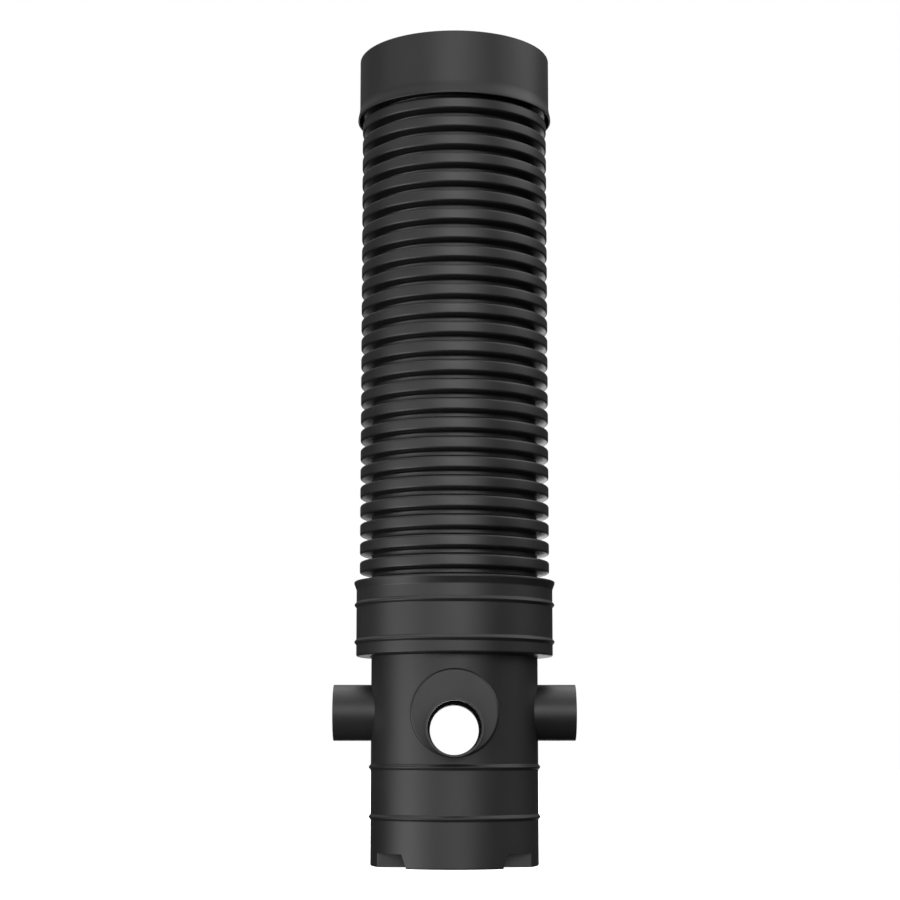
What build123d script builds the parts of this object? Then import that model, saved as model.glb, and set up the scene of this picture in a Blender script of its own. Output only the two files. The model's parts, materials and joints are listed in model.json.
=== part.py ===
from build123d import *
import os

os.makedirs("parts", exist_ok=True)

# Catchpit chamber, in millimetres
# The origin is the middle of the foot on the ground, +Z runs up the shaft
# The front and back spigots lie along Y, the side spigots along X

# Riser pipe, a smooth liner under a corrugated outer wall
riser_bore_radius = 160.0
valley_wall = 5.0
crest_height = 24.25
crest_pitch = 37.8
crest_count = 32
crest_top = 21.2
crest_foot = 28.0

# Chamber base, the upright body below the socket
ledge_overlap = 2.0
body_wall = 7.0
floor_thickness = 8.0
foot_rounding = 3.0
shelf_height = 406.0
shelf_thickness = 6.2
shelf_bevel = 1.5

# Socket that takes the riser pipe
riser_clearance = 1.05
socket_wall = 5.0
socket_depth = 141.8
socket_flare = 13.5

# Lip at the mouth of the socket and of the cap
lip_spread = 3.8
lip_land = 5.0
lip_bevel = 1.5

# Ribs around the body and around the socket
rib_foot = 8.0
rib_crown = 3.6
rib_height = 3.3
rib_root = 2.0
body_rib_heights = (94.0, 190.0)
socket_rib_rises = (28.3, 101.8)

# Spigots for the drain pipes
spigot_radius = 55.0
spigot_wall = 3.8
spigot_length = 74.0
side_spigot_height = 295.7
front_spigot_height = 264.0

# Flat round bosses that carry the front and back spigots
boss_radius = 84.6
boss_stand = 7.0
boss_wall = 4.0
boss_margin = 1.2

# Notches that leave a cross shaped foot
side_land_half = 72.4
front_land_half = 92.0
notch_height = 27.0
notch_draft = 9.0
notch_corner = 3.0
land_rounding = 4.0

# Ring seal in a groove of the riser pipe
seal_groove = 1
seal_side_gap = 0.6
seal_lip = 5.0
seal_base_height = 12.0

# Cover cap
cap_clearance = 2.65
cap_wall = 3.0
cap_plate = 4.0
cap_depth = 129.2
cap_flare = 17.0
cap_bevel = 1.5
seat_height = 9.4

# Sizes that follow from those above
valley_radius = riser_bore_radius + valley_wall
riser_radius = valley_radius + crest_height
body_bore_radius = riser_bore_radius - ledge_overlap
body_radius = body_bore_radius + body_wall
socket_bore_radius = riser_radius + riser_clearance
socket_radius = socket_bore_radius + socket_wall
ledge_height = shelf_height + shelf_thickness
socket_top = ledge_height + socket_depth
spigot_reach = body_radius + spigot_length
boss_reach = body_radius + boss_stand
boss_height = front_spigot_height - spigot_radius - boss_margin + boss_radius
riser_top = ledge_height + crest_count * crest_pitch
cap_bore_radius = riser_radius + cap_clearance
cap_radius = cap_bore_radius + cap_wall
plate_underside = riser_top + seat_height
cap_top = plate_underside + cap_plate
cap_mouth = cap_top - cap_depth


def rib_sections():
    """Draw the sections of all ribs, each with its root sunk in the wall that carries it."""
    places = [(body_radius, height) for height in body_rib_heights]
    places += [(socket_radius, shelf_height + rise) for rise in socket_rib_rises]
    with BuildSketch() as ribs:
        for radius, height in places:
            with BuildLine():
                Polyline(
                    (radius - rib_root, height - rib_foot / 2),
                    (radius, height - rib_foot / 2),
                    (radius + rib_height, height - rib_crown / 2),
                    (radius + rib_height, height + rib_crown / 2),
                    (radius, height + rib_foot / 2),
                    (radius - rib_root, height + rib_foot / 2),
                    close=True,
                )
            make_face()
    return ribs.sketch


def notch_sections(cover):
    """Draw both notches of one side as seen from the front, grown by a cover on all sides."""
    with BuildSketch() as notches:
        with BuildLine():
            Polyline(
                (front_land_half, 0),
                (front_land_half + notch_draft, notch_height),
                (2 * body_radius, notch_height),
                (2 * body_radius, 0),
                close=True,
            )
        make_face()
        fillet(notches.vertices().group_by(Axis.Y)[-1].sort_by(Axis.X)[0], notch_corner)
        if cover:
            offset(amount=cover, kind=Kind.INTERSECTION, mode=Mode.REPLACE)
        mirror(about=Plane.YZ)
    return notches.sketch


# Space inside the base, with the floor raised over the notches of the foot
with BuildPart() as base_space:
    with BuildSketch(Plane.XZ):
        with BuildLine():
            Polyline(
                (0, floor_thickness),
                (body_bore_radius, floor_thickness),
                (body_bore_radius, ledge_height),
                (socket_bore_radius, ledge_height),
                (socket_bore_radius, socket_top - lip_land - socket_flare),
                (socket_bore_radius + lip_spread, socket_top - lip_land),
                (socket_bore_radius + lip_spread, socket_top),
                (0, socket_top),
                close=True,
            )
        make_face()
    revolve(axis=Axis.Z)
    for side in (1, -1):
        with BuildSketch(Plane.XZ.offset(side * (side_land_half - body_wall))):
            add(notch_sections(body_wall))
        extrude(amount=side * body_radius, mode=Mode.SUBTRACT)

# Chamber base, one moulding from the foot to the lip of the socket
with BuildPart() as chamber_base:
    with BuildSketch(Plane.XZ) as base_outline:
        with BuildLine():
            Polyline(
                (0, 0),
                (body_radius, 0),
                (body_radius, shelf_height),
                (socket_radius, shelf_height),
                (socket_radius, socket_top - lip_land - socket_flare),
                (socket_radius + lip_spread, socket_top - lip_land),
                (socket_radius + lip_spread, socket_top),
                (0, socket_top),
                close=True,
            )
        make_face()
        chamfer(base_outline.vertices().group_by(Axis.Y)[1].sort_by(Axis.X)[-1], shelf_bevel)
        chamfer(base_outline.vertices().group_by(Axis.Y)[-1].sort_by(Axis.X)[-1], lip_bevel)
    revolve(axis=Axis.Z)

    # Notches in the four corners of the foot
    for side in (1, -1):
        with BuildSketch(Plane.XZ.offset(side * side_land_half)):
            add(notch_sections(0))
        extrude(amount=side * body_radius, mode=Mode.SUBTRACT)
    fillet(chamber_base.edges().filter_by(Axis.Z).group_by(Axis.Z)[0], land_rounding)
    fillet(chamber_base.faces().sort_by(Axis.Z)[0].outer_wire().edges(), foot_rounding)

    # Ribs
    with BuildSketch(Plane.XZ):
        add(rib_sections())
    revolve(axis=Axis.Z)

    # Bosses and spigots, still solid
    with BuildSketch(Plane.XZ):
        with Locations((0, boss_height)):
            Circle(boss_radius)
    extrude(amount=boss_reach, both=True)
    with BuildSketch(Plane.XZ):
        with Locations((0, front_spigot_height)):
            Circle(spigot_radius)
    extrude(amount=spigot_reach, both=True)
    with BuildSketch(Plane.YZ):
        with Locations((0, side_spigot_height)):
            Circle(spigot_radius)
    extrude(amount=spigot_reach, both=True)

    # Hollow the base, the bosses and the spigots
    add(base_space.part, mode=Mode.SUBTRACT)
    with BuildSketch(Plane.XZ):
        with Locations((0, boss_height)):
            Circle(boss_radius - boss_wall)
    extrude(amount=boss_reach - boss_wall, both=True, mode=Mode.SUBTRACT)
    with BuildSketch(Plane.XZ):
        with Locations((0, front_spigot_height)):
            Circle(spigot_radius - spigot_wall)
    extrude(amount=spigot_reach, both=True, mode=Mode.SUBTRACT)
    with BuildSketch(Plane.YZ):
        with Locations((0, side_spigot_height)):
            Circle(spigot_radius - spigot_wall)
    extrude(amount=spigot_reach, both=True, mode=Mode.SUBTRACT)
chamber_base.part.label = "chamber_base"

# Riser pipe, with one crest for each pitch and a cut through a valley at both ends
with BuildPart() as riser_pipe:
    with BuildSketch(Plane.XZ):
        with BuildLine():
            outline = [
                (riser_bore_radius, riser_top),
                (riser_bore_radius, ledge_height),
                (valley_radius, ledge_height),
            ]
            for turn in range(crest_count):
                middle = ledge_height + (turn + 0.5) * crest_pitch
                outline += [
                    (valley_radius, middle - crest_foot / 2),
                    (riser_radius, middle - crest_top / 2),
                    (riser_radius, middle + crest_top / 2),
                    (valley_radius, middle + crest_foot / 2),
                ]
            outline += [(valley_radius, riser_top)]
            Polyline(*outline, close=True)
        make_face()
    revolve(axis=Axis.Z)
riser_pipe.part.label = "riser_pipe"

# Ring seal, seated on the floor of a groove and pressing on the bore of the socket
seal_middle = ledge_height + seal_groove * crest_pitch
seal_half = (crest_pitch - crest_foot) / 2 - seal_side_gap
with BuildPart() as riser_seal:
    with BuildSketch(Plane.XZ):
        with BuildLine():
            Polyline(
                (valley_radius, seal_middle - seal_half),
                (valley_radius + seal_base_height, seal_middle - seal_half),
                (socket_bore_radius, seal_middle + seal_half - seal_lip),
                (socket_bore_radius, seal_middle + seal_half),
                (valley_radius, seal_middle + seal_half),
                close=True,
            )
        make_face()
    revolve(axis=Axis.Z)
riser_seal.part.label = "riser_seal"

# Cover cap, a plate with a skirt around the riser and a seat ring that stands on its end
with BuildPart() as cover_cap:
    with BuildSketch(Plane.XZ) as cap_outline:
        with BuildLine():
            Polyline(
                (0, cap_top),
                (cap_radius, cap_top),
                (cap_radius, cap_mouth + lip_land + cap_flare),
                (cap_radius + lip_spread, cap_mouth + lip_land),
                (cap_radius + lip_spread, cap_mouth),
                (cap_bore_radius + lip_spread, cap_mouth),
                (cap_bore_radius + lip_spread, cap_mouth + lip_land),
                (cap_bore_radius, cap_mouth + lip_land + cap_flare),
                (cap_bore_radius, plate_underside),
                (valley_radius, plate_underside),
                (valley_radius, riser_top),
                (riser_bore_radius, riser_top),
                (riser_bore_radius, plate_underside),
                (0, plate_underside),
                close=True,
            )
        make_face()
        chamfer(cap_outline.vertices().group_by(Axis.Y)[-1].sort_by(Axis.X)[-1], cap_bevel)
    revolve(axis=Axis.Z)
cover_cap.part.label = "cover_cap"

for piece in (chamber_base, riser_pipe, riser_seal, cover_cap):
    export_step(piece.part, f"parts/{piece.part.label}.step")
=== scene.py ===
"""Catchpit chamber in black moulded plastic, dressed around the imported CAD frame.

A chamber base with four spigots carries a corrugated riser pipe under a cover cap. Lengths are in metres, the
ground is z = 0 and the shaft stands on the z axis, as in the frame.
"""

import json
import logging
import math
from dataclasses import dataclass
from enum import Enum

import bmesh
import bpy
from mathutils import Matrix, Vector

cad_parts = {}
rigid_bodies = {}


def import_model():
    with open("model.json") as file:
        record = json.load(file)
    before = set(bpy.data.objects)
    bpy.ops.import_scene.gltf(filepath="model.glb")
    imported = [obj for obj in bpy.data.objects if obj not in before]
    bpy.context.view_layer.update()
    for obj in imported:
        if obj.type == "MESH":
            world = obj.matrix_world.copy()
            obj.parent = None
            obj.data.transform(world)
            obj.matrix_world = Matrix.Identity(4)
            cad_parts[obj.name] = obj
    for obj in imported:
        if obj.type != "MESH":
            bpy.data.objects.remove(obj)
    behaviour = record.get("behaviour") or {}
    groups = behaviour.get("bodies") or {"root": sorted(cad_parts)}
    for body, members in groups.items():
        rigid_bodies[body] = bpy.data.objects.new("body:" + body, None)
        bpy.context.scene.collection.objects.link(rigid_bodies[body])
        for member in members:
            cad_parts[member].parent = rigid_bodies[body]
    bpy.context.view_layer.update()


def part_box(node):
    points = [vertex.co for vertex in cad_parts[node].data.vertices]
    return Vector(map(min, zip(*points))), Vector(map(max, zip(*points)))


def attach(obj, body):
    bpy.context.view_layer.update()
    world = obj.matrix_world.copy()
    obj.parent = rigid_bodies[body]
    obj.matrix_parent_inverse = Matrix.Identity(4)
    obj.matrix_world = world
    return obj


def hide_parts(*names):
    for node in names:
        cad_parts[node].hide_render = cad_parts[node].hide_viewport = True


LOG = logging.getLogger("catchpit")

ROUND_STEPS = 192
RISER_STEPS = 160
SPIGOT_STEPS = 96
WIDE_BEND = 5
BEND = 4
SMALL_BEND = 3
TINY_BEND = 2
MERGE_DISTANCE = 1e-6
SHARP_ANGLE = math.radians(32)
PLASTIC_INDEX = 1.49
WHITE = (1.0, 1.0, 1.0, 1.0)


class Joining(Enum):
    """How a tool piece changes the piece it is applied to."""

    FUSE = "UNION"
    CUT = "DIFFERENCE"
    SHARE = "INTERSECT"


class Facing(Enum):
    """The way a round piece or a prism points, as the turn that takes it there from the z axis."""

    UP = Matrix.Identity(4)
    RIGHT = Matrix.Rotation(math.radians(90), 4, "Y")
    LEFT = Matrix.Rotation(math.radians(-90), 4, "Y")
    FRONT = Matrix.Rotation(math.radians(90), 4, "X")
    BACK = Matrix.Rotation(math.radians(-90), 4, "X")


@dataclass(frozen=True)
class Corner:
    """A corner of a section, as its distance from the axis, its height and the radius that rounds it."""

    out: float
    up: float
    rounding: float = 0.0
    steps: int = BEND


def draw_section(mesh: bmesh.types.BMesh, corners: list[Corner], closed: bool) -> None:
    """Draw a section as a wire in the xz plane, with its corners rounded.

    Args:
        mesh: The mesh that gets the wire.
        corners: The corners in order.
        closed: Whether the last corner joins the first.
    """
    places = [Vector((corner.out, 0.0, corner.up)) for corner in corners]
    points = [mesh.verts.new(place) for place in places]
    for start, end in zip(points, points[1:]):
        mesh.edges.new((start, end))
    if closed:
        mesh.edges.new((points[-1], points[0]))
    for number, corner in enumerate(corners):
        if corner.rounding == 0.0:
            continue
        before = places[number] - places[number - 1]
        after = places[(number + 1) % len(places)] - places[number]
        bmesh.ops.bevel(
            mesh,
            geom=[points[number]],
            offset=corner.rounding * math.tan(before.angle(after) / 2),
            offset_type="OFFSET",
            segments=corner.steps,
            profile=0.5,
            affect="VERTICES",
            material=-1,
            clamp_overlap=False,
        )


def make_object(name: str, mesh: bmesh.types.BMesh) -> bpy.types.Object:
    """Close a mesh, turn its faces outwards and put it in the scene.

    Args:
        name: The name of the new object.
        mesh: The mesh, which is freed.

    Returns:
        The new object at the origin.
    """
    bmesh.ops.remove_doubles(mesh, verts=mesh.verts[:], dist=MERGE_DISTANCE)
    bmesh.ops.dissolve_degenerate(mesh, dist=MERGE_DISTANCE, edges=mesh.edges[:])
    bmesh.ops.recalc_face_normals(mesh, faces=mesh.faces[:])
    data = bpy.data.meshes.new(name)
    mesh.to_mesh(data)
    mesh.free()
    made = bpy.data.objects.new(name, data)
    bpy.context.scene.collection.objects.link(made)
    return made


def turn_piece(
    name: str,
    corners: list[Corner],
    steps: int = ROUND_STEPS,
    facing: Facing = Facing.UP,
    height: float = 0.0,
) -> bpy.types.Object:
    """Spin a closed section a full turn.

    Args:
        name: The name of the new object.
        corners: The section's corners, from the axis and back to it or once round a ring.
        steps: The number of steps in the turn.
        facing: The way that the section's height points.
        height: The height of the turning axis above the ground.

    Returns:
        The round piece.
    """
    mesh = bmesh.new()
    ring = min(corner.out for corner in corners) > 0.0
    draw_section(mesh, corners, closed=ring)
    bmesh.ops.spin(
        mesh,
        geom=mesh.verts[:] + mesh.edges[:],
        cent=(0.0, 0.0, 0.0),
        axis=(0.0, 0.0, 1.0),
        dvec=(0.0, 0.0, 0.0),
        angle=math.tau,
        steps=steps,
        use_merge=True,
    )
    place = Matrix.Translation((0.0, 0.0, height)) @ facing.value
    bmesh.ops.transform(mesh, matrix=place, verts=mesh.verts[:])
    return make_object(name, mesh)


def push_piece(
    name: str, corners: list[Corner], low: float, high: float, plan: bool = False
) -> bpy.types.Object:
    """Extrude a closed section into a prism.

    Args:
        name: The name of the new object.
        corners: The section's corners.
        low: Where the prism starts.
        high: Where the prism ends.
        plan: Whether the section is a plan that is pushed upwards. Otherwise it is a front view that is
            pushed backwards.

    Returns:
        The prism.
    """
    mesh = bmesh.new()
    draw_section(mesh, corners, closed=True)
    face = bmesh.ops.contextual_create(mesh, geom=mesh.edges[:])["faces"]
    grown = bmesh.ops.extrude_face_region(mesh, geom=face)["geom"]
    moved = [item for item in grown if isinstance(item, bmesh.types.BMVert)]
    bmesh.ops.translate(mesh, verts=moved, vec=(0.0, high - low, 0.0))
    bmesh.ops.translate(mesh, verts=mesh.verts[:], vec=(0.0, low, 0.0))
    if plan:
        swap = Matrix(((1, 0, 0, 0), (0, 0, 1, 0), (0, 1, 0, 0), (0, 0, 0, 1)))
        bmesh.ops.transform(mesh, matrix=swap, verts=mesh.verts[:])
    return make_object(name, mesh)


def mirror_piece(piece: bpy.types.Object, *axes: int) -> bpy.types.Object:
    """Copy a piece to the other side.

    Args:
        piece: The piece to copy.
        axes: The axes that change sign.

    Returns:
        The mirrored copy.
    """
    mesh = bmesh.new()
    mesh.from_mesh(piece.data)
    signs = [-1.0 if axis in axes else 1.0 for axis in range(3)]
    bmesh.ops.scale(mesh, vec=signs, verts=mesh.verts[:])
    return make_object(piece.name + "_mirrored", mesh)


def settle(piece: bpy.types.Object) -> None:
    """Make what a piece's modifiers show its own mesh.

    Args:
        piece: The piece, which loses its modifiers.
    """
    graph = bpy.context.evaluated_depsgraph_get()
    made = bpy.data.meshes.new_from_object(piece.evaluated_get(graph))
    old = piece.data
    piece.modifiers.clear()
    piece.data = made
    bpy.data.meshes.remove(old)


def join(piece: bpy.types.Object, tool: bpy.types.Object, how: Joining) -> None:
    """Change a piece with a tool piece, which is used up.

    Args:
        piece: The piece to change.
        tool: The piece that is added, cut away or shared.
        how: What the tool does.
    """
    change = piece.modifiers.new(how.name, "BOOLEAN")
    change.operation = how.value
    change.solver = "EXACT"
    change.object = tool
    settle(piece)
    bpy.data.objects.remove(tool)


def smooth_off(piece: bpy.types.Object) -> None:
    """Clean a finished mesh and shade it smooth, with its flat faces kept flat up to their edges.

    Args:
        piece: The finished piece.
    """
    mesh = bmesh.new()
    mesh.from_mesh(piece.data)
    bmesh.ops.remove_doubles(mesh, verts=mesh.verts[:], dist=MERGE_DISTANCE)
    bmesh.ops.dissolve_degenerate(mesh, dist=MERGE_DISTANCE, edges=mesh.edges[:])
    mesh.to_mesh(piece.data)
    mesh.free()
    piece.data.shade_smooth()
    piece.data.set_sharp_from_angle(angle=SHARP_ANGLE)
    weighting = piece.modifiers.new("flat faces first", "WEIGHTED_NORMAL")
    weighting.keep_sharp = True
    settle(piece)


@dataclass(frozen=True)
class Rib:
    """A low ring on an upright wall, with its flanks blended into the wall and its crown rounded."""

    foot: float = 0.011
    crown: float = 0.0024
    stand: float = 0.0038
    root_rounding: float = 0.003
    crown_rounding: float = 0.0028

    def corners(self, radius: float, height: float) -> list[Corner]:
        """List the rib's corners from below to above.

        Args:
            radius: The radius of the wall.
            height: The height of the rib's middle.

        Returns:
            The corners.
        """
        outside = radius + self.stand
        return [
            Corner(radius, height - self.foot / 2, self.root_rounding, SMALL_BEND),
            Corner(outside, height - self.crown / 2, self.crown_rounding, SMALL_BEND),
            Corner(outside, height + self.crown / 2, self.crown_rounding, SMALL_BEND),
            Corner(radius, height + self.foot / 2, self.root_rounding, SMALL_BEND),
        ]


class Shader:
    """Puts together the nodes of one material or node group."""

    def __init__(self, tree: bpy.types.NodeTree) -> None:
        """Start on a node tree."""
        self.tree = tree

    def node(self, kind: str, **values: object) -> bpy.types.Node:
        """Add a node.

        Args:
            kind: The node's type.
            values: Its settings by attribute name.

        Returns:
            The new node.
        """
        made = self.tree.nodes.new(kind)
        for name, value in values.items():
            setattr(made, name, value)
        return made

    def link(self, start: bpy.types.NodeSocket, end: bpy.types.NodeSocket) -> None:
        """Join an output to an input."""
        self.tree.links.new(start, end)


class SkinGroup:
    """The skin that a mould leaves on plastic: a fine grain with a broad, faint mottle under it."""

    name = "moulded skin"
    inputs = (("Grain Scale", 900.0), ("Mottle Scale", 9.0), ("Flow Stretch", 0.5))
    mottle_detail = 4.0
    mottle_roughness = 0.55
    grain_detail = 2.0

    def build(self) -> bpy.types.NodeTree:
        """Make the node group once and hand it out again after that.

        Returns:
            The group, with the inputs Grain Scale, Mottle Scale and Flow Stretch and the outputs Mottle and
            Relief.
        """
        found = bpy.data.node_groups.get(self.name)
        if found:
            return found
        tree = bpy.data.node_groups.new(self.name, "ShaderNodeTree")
        for name, value in self.inputs:
            socket = tree.interface.new_socket(name, in_out="INPUT", socket_type="NodeSocketFloat")
            socket.default_value = value
        for name in ("Mottle", "Relief"):
            tree.interface.new_socket(name, in_out="OUTPUT", socket_type="NodeSocketFloat")
        shader = Shader(tree)
        given = shader.node("NodeGroupInput")
        out = shader.node("NodeGroupOutput")
        place = shader.node("ShaderNodeTexCoord")
        stretch = shader.node("ShaderNodeCombineXYZ")
        stretch.inputs["X"].default_value = 1.0
        stretch.inputs["Y"].default_value = 1.0
        shader.link(given.outputs["Flow Stretch"], stretch.inputs["Z"])
        flow = shader.node("ShaderNodeVectorMath", operation="MULTIPLY")
        shader.link(place.outputs["Object"], flow.inputs[0])
        shader.link(stretch.outputs["Vector"], flow.inputs[1])
        mottle = shader.node("ShaderNodeTexNoise")
        mottle.inputs["Detail"].default_value = self.mottle_detail
        mottle.inputs["Roughness"].default_value = self.mottle_roughness
        shader.link(flow.outputs["Vector"], mottle.inputs["Vector"])
        shader.link(given.outputs["Mottle Scale"], mottle.inputs["Scale"])
        grain = shader.node("ShaderNodeTexNoise")
        grain.inputs["Detail"].default_value = self.grain_detail
        shader.link(place.outputs["Object"], grain.inputs["Vector"])
        shader.link(given.outputs["Grain Scale"], grain.inputs["Scale"])
        shader.link(mottle.outputs["Fac"], out.inputs["Mottle"])
        shader.link(grain.outputs["Fac"], out.inputs["Relief"])
        return tree


@dataclass(frozen=True)
class PlasticFinish:
    """Black plastic as it leaves the mould or the extruder."""

    name: str
    dark: float
    light: float
    smoothest: float
    roughest: float
    grain_scale: float = 900.0
    grain_depth: float = 0.00002
    flow_stretch: float = 0.5
    grain_strength: float = 0.5
    tone_start: float = 0.35
    tone_end: float = 0.65
    polish_start: float = 0.3
    polish_end: float = 0.7

    def build(self) -> bpy.types.Material:
        """Make the material.

        Returns:
            The new material.
        """
        material = bpy.data.materials.new(self.name)
        material.use_nodes = True
        shader = Shader(material.node_tree)
        material.node_tree.nodes.clear()
        out = shader.node("ShaderNodeOutputMaterial")
        surface = shader.node("ShaderNodeBsdfPrincipled")
        shader.link(surface.outputs["BSDF"], out.inputs["Surface"])
        surface.inputs["IOR"].default_value = PLASTIC_INDEX
        skin = shader.node("ShaderNodeGroup", node_tree=SkinGroup().build())
        skin.inputs["Grain Scale"].default_value = self.grain_scale
        skin.inputs["Flow Stretch"].default_value = self.flow_stretch
        tone = shader.node("ShaderNodeMapRange")
        tone.inputs["From Min"].default_value = self.tone_start
        tone.inputs["From Max"].default_value = self.tone_end
        shader.link(skin.outputs["Mottle"], tone.inputs["Value"])
        colour = shader.node("ShaderNodeMix", data_type="RGBA")
        colour.inputs[6].default_value = (self.dark, self.dark, self.dark, 1.0)
        colour.inputs[7].default_value = (self.light, self.light, self.light, 1.0)
        shader.link(tone.outputs["Result"], colour.inputs[0])
        shader.link(colour.outputs[2], surface.inputs["Base Color"])
        rough = shader.node("ShaderNodeMapRange")
        rough.inputs["From Min"].default_value = self.polish_start
        rough.inputs["From Max"].default_value = self.polish_end
        rough.inputs["To Min"].default_value = self.smoothest
        rough.inputs["To Max"].default_value = self.roughest
        shader.link(skin.outputs["Mottle"], rough.inputs["Value"])
        shader.link(rough.outputs["Result"], surface.inputs["Roughness"])
        bump = shader.node("ShaderNodeBump")
        bump.inputs["Strength"].default_value = self.grain_strength
        bump.inputs["Distance"].default_value = self.grain_depth
        shader.link(skin.outputs["Relief"], bump.inputs["Height"])
        shader.link(bump.outputs["Normal"], surface.inputs["Normal"])
        return material


BASE_FINISH = PlasticFinish("black moulded base", dark=0.011, light=0.014, smoothest=0.4, roughest=0.48)
RISER_FINISH = PlasticFinish(
    "black corrugated pipe", dark=0.012, light=0.016, smoothest=0.34, roughest=0.42, flow_stretch=3.0
)
CAP_FINISH = PlasticFinish("black moulded cap", dark=0.01, light=0.013, smoothest=0.4, roughest=0.48)
SEAL_FINISH = PlasticFinish(
    "black seal rubber",
    dark=0.012,
    light=0.018,
    smoothest=0.6,
    roughest=0.7,
    grain_scale=1400.0,
    grain_depth=0.00004,
    flow_stretch=1.0,
)


def put_in_frame(piece: bpy.types.Object, node: str, finish: PlasticFinish) -> None:
    """Dress a finished piece and let it stand for its CAD node.

    Args:
        piece: The finished piece.
        node: The CAD node it replaces.
        finish: The finish it gets.
    """
    piece.data.materials.clear()
    piece.data.materials.append(finish.build())
    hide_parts(node)
    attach(piece, "root")
    LOG.info("%s stands for %s with %d faces", piece.name, node, len(piece.data.polygons))


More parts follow.
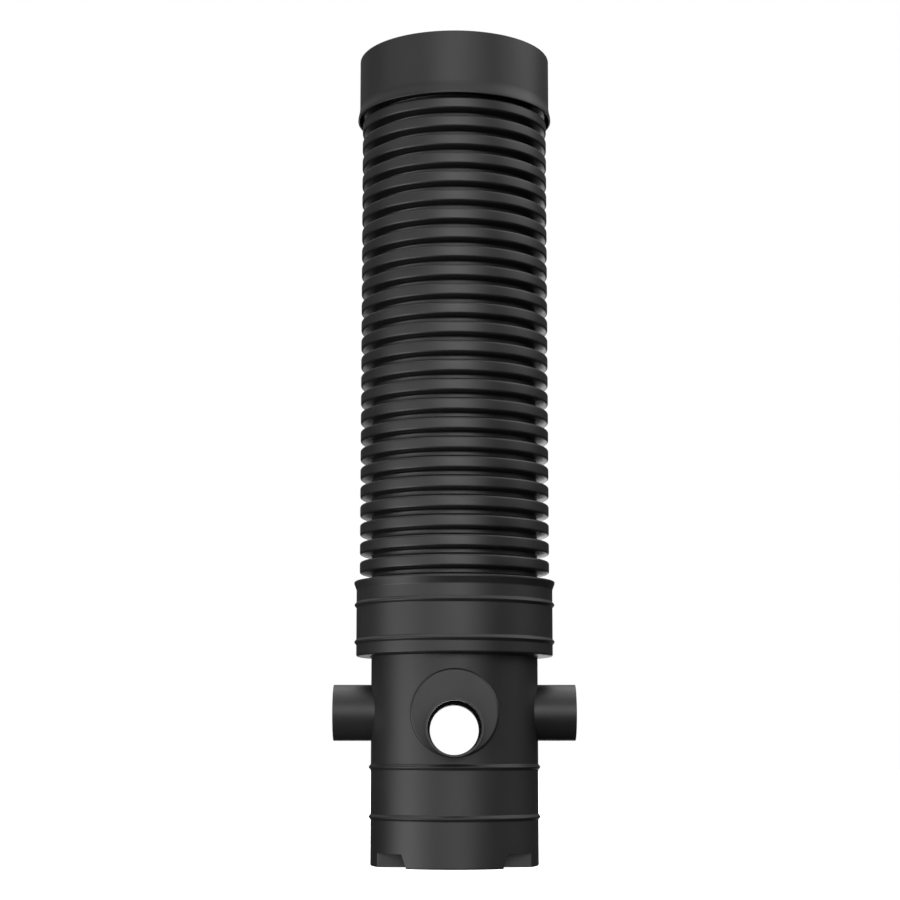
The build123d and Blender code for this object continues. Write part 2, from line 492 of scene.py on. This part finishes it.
@dataclass
class ChamberBase:
    """The moulded base: a body with a silt sump, a cross shaped foot, a socket and four spigots."""

    body_radius: float = 0.165
    body_wall: float = 0.007
    floor_thickness: float = 0.008
    floor_rounding: float = 0.004
    foot_rounding: float = 0.003
    shelf_height: float = 0.406
    shelf_thickness: float = 0.0062
    ledge_rounding: float = 0.001
    shelf_rounding: float = 0.0035
    shelf_root_rounding: float = 0.004
    socket_radius: float = 0.1953
    socket_wall: float = 0.005
    socket_root_rounding: float = 0.0015
    lip_spread: float = 0.0046
    lip_wall: float = 0.0035
    lip_land: float = 0.004
    lip_flare: float = 0.0125
    flare_rounding: float = 0.008
    lip_rounding: float = 0.003
    lip_edge: float = 0.0016
    mouth_edge: float = 0.0012
    rib: Rib = Rib()
    body_ribs: tuple[float, ...] = (0.094, 0.19)
    socket_ribs: tuple[float, ...] = (0.4343, 0.5078)
    spigot_radius: float = 0.055
    spigot_wall: float = 0.0038
    side_spigot_height: float = 0.2957
    front_spigot_height: float = 0.264
    spigot_edge: float = 0.0008
    spigot_bore_edge: float = 0.0004
    boss_radius: float = 0.0846
    boss_height: float = 0.2924
    boss_stand: float = 0.007
    boss_wall: float = 0.004
    boss_rounding: float = 0.005
    pocket_rounding: float = 0.002
    stub_start: float = 0.1
    side_land_half: float = 0.0724
    front_land_half: float = 0.092
    notch_height: float = 0.027
    notch_draft: float = 0.009
    notch_rounding: float = 0.003
    notch_inside: float = 0.0495
    notch_below: float = 0.01
    land_rounding: float = 0.004

    def build(self) -> bpy.types.Object:
        """Mould the base.

        Returns:
            The finished piece.
        """
        low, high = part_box("chamber_base")
        base = self.outer_form(high.z)
        for notch in self.corner_copies(self.notch(0.0)):
            join(base, notch, Joining.CUT)
        for tool in self.spigots(high.x):
            join(base, tool, Joining.FUSE)
        join(base, self.space(high.z), Joining.CUT)
        for tool in self.bores(high.x):
            join(base, tool, Joining.CUT)
        smooth_off(base)
        put_in_frame(base, "chamber_base", BASE_FINISH)
        return base

    def outer_form(self, top: float) -> bpy.types.Object:
        """Turn the outside of the body and the socket.

        Args:
            top: The height of the socket's mouth.

        Returns:
            The solid form.
        """
        lip = self.socket_radius + self.lip_spread
        corners = [Corner(0.0, 0.0), Corner(self.body_radius, 0.0, self.foot_rounding)]
        for height in self.body_ribs:
            corners += self.rib.corners(self.body_radius, height)
        corners += [
            Corner(self.body_radius, self.shelf_height, self.shelf_root_rounding),
            Corner(self.socket_radius, self.shelf_height, self.shelf_rounding),
        ]
        for height in self.socket_ribs:
            corners += self.rib.corners(self.socket_radius, height)
        corners += [
            Corner(self.socket_radius, top - self.lip_land - self.lip_flare, self.flare_rounding),
            Corner(lip, top - self.lip_land, self.lip_rounding),
            Corner(lip, top, self.lip_edge),
            Corner(0.0, top),
        ]
        return turn_piece("chamber_base_moulding", corners)

    def space(self, top: float) -> bpy.types.Object:
        """Turn the space inside, with the floor raised over the notches of the foot.

        Args:
            top: The height of the socket's mouth.

        Returns:
            The tool that hollows the base.
        """
        bore = self.body_radius - self.body_wall
        socket_bore = self.socket_radius - self.socket_wall
        mouth = self.socket_radius + self.lip_spread - self.lip_wall
        ledge = self.shelf_height + self.shelf_thickness
        edge = self.mouth_edge
        space = turn_piece(
            "space",
            [
                Corner(0.0, self.floor_thickness),
                Corner(bore, self.floor_thickness, self.floor_rounding),
                Corner(bore, ledge, self.ledge_rounding),
                Corner(socket_bore, ledge, self.socket_root_rounding),
                Corner(socket_bore, top - self.lip_land - self.lip_flare, self.flare_rounding),
                Corner(mouth, top - self.lip_land, self.lip_rounding),
                Corner(mouth, top, edge),
                Corner(mouth + edge, top),
                Corner(mouth + edge, top + edge),
                Corner(0.0, top + edge),
            ],
        )
        for block in self.corner_copies(self.notch(self.body_wall)):
            join(space, block, Joining.CUT)
        return space

    def notch(self, cover: float) -> bpy.types.Object:
        """Make the block that is missing from the right back corner of the foot.

        Args:
            cover: How much the block is grown on all sides.

        Returns:
            The block.
        """
        far = 2 * self.body_radius
        half = self.front_land_half - cover
        slant = math.hypot(self.notch_draft, self.notch_height) / self.notch_height
        shift = cover * (slant - 1.0)
        ceiling = self.notch_height + cover
        lean = self.notch_draft / self.notch_height
        front = push_piece(
            "notch_front",
            [
                Corner(half - shift - lean * self.notch_below, -self.notch_below),
                Corner(half - shift + lean * ceiling, ceiling, self.notch_rounding + cover),
                Corner(far, ceiling),
                Corner(far, -self.notch_below),
            ],
            0.0,
            far,
        )
        wall = self.side_land_half - cover
        ring = self.body_radius - self.land_rounding
        centre_y = wall - self.land_rounding
        centre_x = math.sqrt(ring**2 - centre_y**2)
        touch = Vector((centre_x, centre_y)) * (self.body_radius / ring)
        corner_x = touch.x - (wall - touch.y) * centre_y / centre_x
        plan = push_piece(
            "notch_plan",
            [
                Corner(self.notch_inside, wall),
                Corner(corner_x, wall, self.land_rounding if cover == 0.0 else 0.0),
                Corner(touch.x, touch.y),
                Corner(2 * touch.x, 2 * touch.y),
                Corner(2 * touch.x, far),
                Corner(self.notch_inside, far),
            ],
            -2 * self.notch_below,
            2 * ceiling,
            plan=True,
        )
        join(front, plan, Joining.SHARE)
        return front

    def corner_copies(self, block: bpy.types.Object) -> list[bpy.types.Object]:
        """Copy a block to all four corners of the foot."""
        return [block, mirror_piece(block, 0), mirror_piece(block, 1), mirror_piece(block, 0, 1)]

    def spigot_places(self) -> list[tuple[Facing, float]]:
        """List the way that each spigot points and its height, with the two on a boss first."""
        fronts = [(facing, self.front_spigot_height) for facing in (Facing.FRONT, Facing.BACK)]
        return fronts + [(facing, self.side_spigot_height) for facing in (Facing.RIGHT, Facing.LEFT)]

    def boss_stub(
        self, name: str, facing: Facing, inset: float, start: float, rounding: float
    ) -> bpy.types.Object:
        """Make a solid of the boss's form, or of the pocket behind it.

        Args:
            name: The name of the new object.
            facing: The way that the boss faces.
            inset: How far the solid stays inside the boss.
            start: How far from the shaft's axis it starts.
            rounding: The rounding of its outer edge.

        Returns:
            The solid.
        """
        radius = self.boss_radius - inset
        face = self.body_radius + self.boss_stand - inset
        corners = [
            Corner(0.0, start),
            Corner(radius, start),
            Corner(radius, face, rounding),
            Corner(0.0, face),
        ]
        return turn_piece(name, corners, SPIGOT_STEPS, facing, self.boss_height)

    def spigots(self, reach: float) -> list[bpy.types.Object]:
        """Make the four spigots and the two bosses, still solid.

        Args:
            reach: How far the spigots' ends are from the shaft's axis.

        Returns:
            The tools that are added to the base.
        """
        corners = [
            Corner(0.0, self.stub_start),
            Corner(self.spigot_radius, self.stub_start),
            Corner(self.spigot_radius, reach, self.spigot_edge),
            Corner(0.0, reach),
        ]
        made = []
        for facing, height in self.spigot_places():
            if facing in (Facing.FRONT, Facing.BACK):
                made.append(self.boss_stub("boss", facing, 0.0, self.stub_start, self.boss_rounding))
            made.append(turn_piece("spigot", corners, SPIGOT_STEPS, facing, height))
        return made

    def bores(self, reach: float) -> list[bpy.types.Object]:
        """Make the pockets behind the bosses and the bores of the spigots.

        Args:
            reach: How far the spigots' ends are from the shaft's axis.

        Returns:
            The tools that are cut from the base.
        """
        bore = self.spigot_radius - self.spigot_wall
        edge = self.spigot_bore_edge
        corners = [
            Corner(0.0, 0.0),
            Corner(bore, 0.0),
            Corner(bore, reach, edge, SMALL_BEND),
            Corner(bore + edge, reach),
            Corner(bore + edge, reach + edge),
            Corner(0.0, reach + edge),
        ]
        made = []
        for facing in (Facing.FRONT, Facing.BACK):
            made.append(self.boss_stub("pocket", facing, self.boss_wall, 0.0, self.pocket_rounding))
        for facing, height in self.spigot_places():
            made.append(turn_piece("bore", corners, SPIGOT_STEPS, facing, height))
        return made


@dataclass
class RiserPipe:
    """The corrugated riser pipe with its smooth liner."""

    bore_radius: float = 0.16
    valley_radius: float = 0.165
    crest_count: int = 32
    crest_above: float = 0.0106
    crest_below: float = 0.0118
    foot_above: float = 0.014
    foot_below: float = 0.014
    crest_rounding: float = 0.0042
    valley_rounding: float = 0.003

    def build(self) -> bpy.types.Object:
        """Run the pipe.

        Returns:
            The finished piece.
        """
        low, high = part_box("riser_pipe")
        pitch = (high.z - low.z) / self.crest_count
        corners = [
            Corner(self.bore_radius, high.z),
            Corner(self.bore_radius, low.z),
            Corner(self.valley_radius, low.z),
        ]
        for number in range(self.crest_count):
            middle = low.z + (number + 0.5) * pitch
            corners += [
                Corner(self.valley_radius, middle - self.foot_below, self.valley_rounding, SMALL_BEND),
                Corner(high.x, middle - self.crest_below, self.crest_rounding),
                Corner(high.x, middle + self.crest_above, self.crest_rounding),
                Corner(self.valley_radius, middle + self.foot_above, self.valley_rounding, SMALL_BEND),
            ]
        corners.append(Corner(self.valley_radius, high.z))
        riser = turn_piece("riser_pipe_corrugated", corners, RISER_STEPS)
        smooth_off(riser)
        put_in_frame(riser, "riser_pipe", RISER_FINISH)
        return riser


@dataclass
class RiserSeal:
    """The rubber ring between the riser pipe and the socket."""

    groove_radius: float = 0.165
    base_height: float = 0.012
    lip_width: float = 0.005
    rounding: float = 0.001

    def build(self) -> bpy.types.Object:
        """Make the ring.

        Returns:
            The finished piece.
        """
        low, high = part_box("riser_seal")
        seal = turn_piece(
            "riser_seal_ring",
            [
                Corner(self.groove_radius, low.z, self.rounding, SMALL_BEND),
                Corner(self.groove_radius + self.base_height, low.z, self.rounding, SMALL_BEND),
                Corner(high.x, high.z - self.lip_width, self.rounding, SMALL_BEND),
                Corner(high.x, high.z, self.rounding, SMALL_BEND),
                Corner(self.groove_radius, high.z, self.rounding, SMALL_BEND),
            ],
        )
        smooth_off(seal)
        put_in_frame(seal, "riser_seal", SEAL_FINISH)
        return seal


@dataclass
class CoverCap:
    """The cap over the top of the riser pipe."""

    skirt_wall: float = 0.003
    skirt_radius: float = 0.1949
    plate: float = 0.004
    lip_land: float = 0.005
    lip_flare: float = 0.017
    flare_rounding: float = 0.06
    land_rounding: float = 0.025
    plate_rounding: float = 0.003
    rounding: float = 0.0016
    edge: float = 0.0012
    seat_outside: float = 0.165
    seat_inside: float = 0.16
    seat_rounding: float = 0.0005

    def build(self) -> bpy.types.Object:
        """Mould the cap.

        Returns:
            The finished piece.
        """
        low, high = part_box("cover_cap")
        riser_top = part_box("riser_pipe")[1].z
        lip = high.x
        mouth = lip - self.skirt_wall
        inside = self.skirt_radius - self.skirt_wall
        land = low.z + self.lip_land
        flare = land + self.lip_flare
        under = high.z - self.plate
        cap = turn_piece(
            "cover_cap_moulding",
            [
                Corner(0.0, high.z),
                Corner(self.skirt_radius, high.z, self.rounding),
                Corner(self.skirt_radius, flare, self.flare_rounding, WIDE_BEND),
                Corner(lip, land, self.land_rounding),
                Corner(lip, low.z, self.edge),
                Corner(mouth, low.z, self.edge),
                Corner(mouth, land, self.land_rounding),
                Corner(inside, flare, self.flare_rounding, WIDE_BEND),
                Corner(inside, under, self.plate_rounding),
                Corner(self.seat_outside, under, self.seat_rounding, TINY_BEND),
                Corner(self.seat_outside, riser_top, self.seat_rounding, TINY_BEND),
                Corner(self.seat_inside, riser_top, self.seat_rounding, TINY_BEND),
                Corner(self.seat_inside, under, self.seat_rounding, TINY_BEND),
                Corner(0.0, under),
            ],
        )
        smooth_off(cap)
        put_in_frame(cap, "cover_cap", CAP_FINISH)
        return cap


@dataclass(frozen=True)
class Glow:
    """A soft light far away, as a round glow on the studio's walls, ceiling or floor.

    The azimuth runs from the front to the right and the elevation from the horizon upwards, both in degrees.
    A glow with a higher focus is smaller.
    """

    azimuth: float
    elevation: float
    focus: float
    strength: float

    def direction(self) -> Vector:
        """Give the direction in which the glow is seen from the object.

        Returns:
            The direction as a vector of length one.
        """
        across = math.radians(self.azimuth)
        rise = math.radians(self.elevation)
        level = math.cos(rise)
        return Vector((math.sin(across) * level, -math.cos(across) * level, math.sin(rise)))


class GlowGroup:
    """The light of one glow in the direction that is looked in."""

    name = "soft glow"

    def build(self) -> bpy.types.NodeTree:
        """Make the node group once and hand it out again after that.

        Returns:
            The group, with the inputs Direction, Focus and Strength and the output Light.
        """
        found = bpy.data.node_groups.get(self.name)
        if found:
            return found
        tree = bpy.data.node_groups.new(self.name, "ShaderNodeTree")
        tree.interface.new_socket("Direction", in_out="INPUT", socket_type="NodeSocketVector")
        for name in ("Focus", "Strength"):
            tree.interface.new_socket(name, in_out="INPUT", socket_type="NodeSocketFloat")
        tree.interface.new_socket("Light", in_out="OUTPUT", socket_type="NodeSocketFloat")
        shader = Shader(tree)
        given = shader.node("NodeGroupInput")
        out = shader.node("NodeGroupOutput")
        looked = shader.node("ShaderNodeTexCoord")
        nearness = shader.node("ShaderNodeVectorMath", operation="DOT_PRODUCT")
        shader.link(looked.outputs["Generated"], nearness.inputs[0])
        shader.link(given.outputs["Direction"], nearness.inputs[1])
        short = shader.node("ShaderNodeMath", operation="SUBTRACT")
        short.inputs[1].default_value = 1.0
        shader.link(nearness.outputs["Value"], short.inputs[0])
        focused = shader.node("ShaderNodeMath", operation="MULTIPLY")
        shader.link(short.outputs["Value"], focused.inputs[0])
        shader.link(given.outputs["Focus"], focused.inputs[1])
        fading = shader.node("ShaderNodeMath", operation="EXPONENT")
        shader.link(focused.outputs["Value"], fading.inputs[0])
        light = shader.node("ShaderNodeMath", operation="MULTIPLY")
        shader.link(fading.outputs["Value"], light.inputs[0])
        shader.link(given.outputs["Strength"], light.inputs[1])
        shader.link(light.outputs["Value"], out.inputs["Light"])
        return tree


@dataclass
class Studio:
    """The pale floor, the soft lights, the white surroundings and the camera."""

    floor_size: float = 40.0
    floor_tone: float = 0.9
    floor_roughness: float = 0.8
    white_strength: float = 1.0
    lens: float = 78.89
    sensor: float = 36.0
    camera_place: tuple[float, float, float] = (-0.0089, -3.9375, 0.2175)
    camera_tilt: float = 8.727
    glows: tuple[Glow, ...] = (
        Glow(0.0, 75.0, 6.0, 1.1),
        Glow(180.0, 75.0, 6.0, 2.41),
        Glow(-90.0, 75.0, 6.0, 0.4),
        Glow(175.0, -12.0, 80.0, 2.9),
        Glow(180.0, 2.0, 80.0, 0.96),
        Glow(-90.0, 0.0, 50.0, 0.47),
        Glow(0.0, -60.0, 3.0, 0.1),
        Glow(-75.0, -33.0, 50.0, 2.0),
        Glow(-60.0, -33.0, 50.0, 1.4),
        Glow(-75.0, -15.0, 50.0, 2.98),
        Glow(-75.0, 0.0, 50.0, 2.18),
        Glow(-60.0, -15.0, 50.0, 4.76),
        Glow(-60.0, 0.0, 50.0, 0.4),
        Glow(-45.0, 0.0, 50.0, 1.9),
        Glow(-30.0, 0.0, 50.0, 0.84),
        Glow(-30.0, 15.0, 50.0, 0.2),
        Glow(-15.0, 0.0, 50.0, 0.41),
        Glow(-15.0, 15.0, 50.0, 2.05),
        Glow(0.0, 0.0, 50.0, 0.39),
        Glow(0.0, 15.0, 50.0, 3.78),
        Glow(15.0, 0.0, 50.0, 2.12),
        Glow(15.0, 15.0, 50.0, 1.7),
        Glow(30.0, 15.0, 50.0, 1.22),
        Glow(60.0, 30.0, 50.0, 0.41),
        Glow(75.0, 30.0, 50.0, 3.03),
        Glow(90.0, 10.0, 50.0, 0.57),
        Glow(90.0, 30.0, 50.0, 1.19),
        Glow(105.0, 30.0, 50.0, 2.65),
    )

    def build(self) -> None:
        """Set up the studio."""
        self.floor()
        self.surroundings()
        self.camera()

    def floor(self) -> None:
        """Lay the pale floor."""
        mesh = bmesh.new()
        bmesh.ops.create_grid(mesh, x_segments=1, y_segments=1, size=self.floor_size / 2)
        data = bpy.data.meshes.new("floor")
        mesh.to_mesh(data)
        mesh.free()
        floor = bpy.data.objects.new("floor", data)
        bpy.context.scene.collection.objects.link(floor)
        material = bpy.data.materials.new("pale floor")
        material.use_nodes = True
        surface = material.node_tree.nodes["Principled BSDF"]
        surface.inputs["Base Color"].default_value = (self.floor_tone, self.floor_tone, self.floor_tone, 1.0)
        surface.inputs["Roughness"].default_value = self.floor_roughness
        surface.inputs["Emission Color"].default_value = WHITE
        surface.inputs["Emission Strength"].default_value = self.white_strength
        data.materials.append(material)
        floor.visible_diffuse = False
        floor.visible_glossy = False
        floor.visible_shadow = False

    def surroundings(self) -> None:
        """Make the world white to the camera and lit by the soft glows for everything else."""
        scene = bpy.context.scene
        scene.view_settings.view_transform = "Standard"
        world = bpy.data.worlds.new("white studio")
        scene.world = world
        world.use_nodes = True
        shader = Shader(world.node_tree)
        world.node_tree.nodes.clear()
        out = shader.node("ShaderNodeOutputWorld")
        seen = shader.node("ShaderNodeBackground")
        seen.inputs["Color"].default_value = WHITE
        seen.inputs["Strength"].default_value = self.white_strength
        lighting = shader.node("ShaderNodeBackground")
        lighting.inputs["Color"].default_value = WHITE
        total = None
        for glow in self.glows:
            part = shader.node("ShaderNodeGroup", node_tree=GlowGroup().build())
            part.inputs["Direction"].default_value = glow.direction()
            part.inputs["Focus"].default_value = glow.focus
            part.inputs["Strength"].default_value = glow.strength
            light = part.outputs["Light"]
            if total is not None:
                both = shader.node("ShaderNodeMath", operation="ADD")
                shader.link(total, both.inputs[0])
                shader.link(light, both.inputs[1])
                light = both.outputs["Value"]
            total = light
        shader.link(total, lighting.inputs["Strength"])
        path = shader.node("ShaderNodeLightPath")
        mix = shader.node("ShaderNodeMixShader")
        shader.link(path.outputs["Is Camera Ray"], mix.inputs["Fac"])
        shader.link(lighting.outputs["Background"], mix.inputs[1])
        shader.link(seen.outputs["Background"], mix.inputs[2])
        shader.link(mix.outputs["Shader"], out.inputs["Surface"])

    def camera(self) -> None:
        """Put the camera where the photograph was taken from."""
        data = bpy.data.cameras.new("camera")
        data.lens = self.lens
        data.sensor_width = self.sensor
        camera = bpy.data.objects.new("camera", data)
        bpy.context.scene.collection.objects.link(camera)
        camera.location = self.camera_place
        camera.rotation_euler = (math.radians(90.0 + self.camera_tilt), 0.0, 0.0)
        bpy.context.scene.camera = camera


def main() -> None:
    """Load the frame, build each piece and set up the studio."""
    logging.basicConfig(level=logging.INFO, format="%(message)s")
    for item in list(bpy.data.objects):
        bpy.data.objects.remove(item)
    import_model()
    for part in (ChamberBase(), RiserPipe(), RiserSeal(), CoverCap()):
        part.build()
    Studio().build()


if __name__ == "__main__":
    main()
